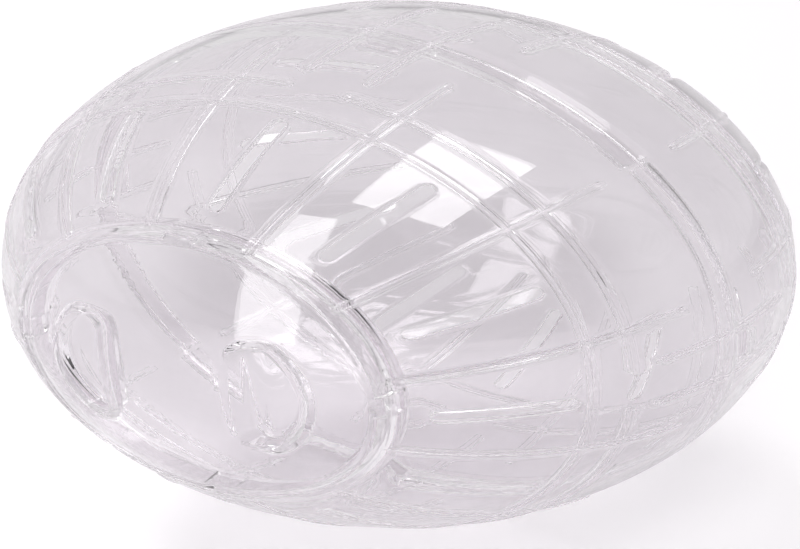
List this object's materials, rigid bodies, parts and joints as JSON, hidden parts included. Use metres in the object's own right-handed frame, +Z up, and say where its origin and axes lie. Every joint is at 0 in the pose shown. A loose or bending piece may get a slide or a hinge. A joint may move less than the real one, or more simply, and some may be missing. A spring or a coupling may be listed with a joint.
{
  "type": "hamster ball",
  "caption": "Clear egg-shaped hamster exercise ball of two snap-together ribbed halves with vent slots and a lift-out door with two finger wells.",
  "frame": {"origin": "middle of the ball", "axes": "+X along the ball's long side, away from the end nearest the door; +Z up; the door faces -X and -Y, 43 degrees from -X in the ground plane"},
  "size_m": [0.1897, 0.1261, 0.1262],
  "materials": {
    "clear_shell": "clear gloss",
    "clear_door": "clear gloss"
  },
  "bodies": {
    "front": {"front_half": "clear_shell"},
    "rear": {"rear_half": "clear_shell"},
    "door": {"door": "clear_door"}
  },
  "joints": [
    {"name": "door_lift_out", "type": "slide", "parent": "front", "child": "door", "axis": [-0.7299, -0.6836, 0], "range_m": [0, 0.045]},
    {"name": "rear_pull_off", "type": "slide", "parent": "front", "child": "rear", "axis": [0.7299, 0.6836, 0], "range_m": [0, 0.06]}
  ]
}
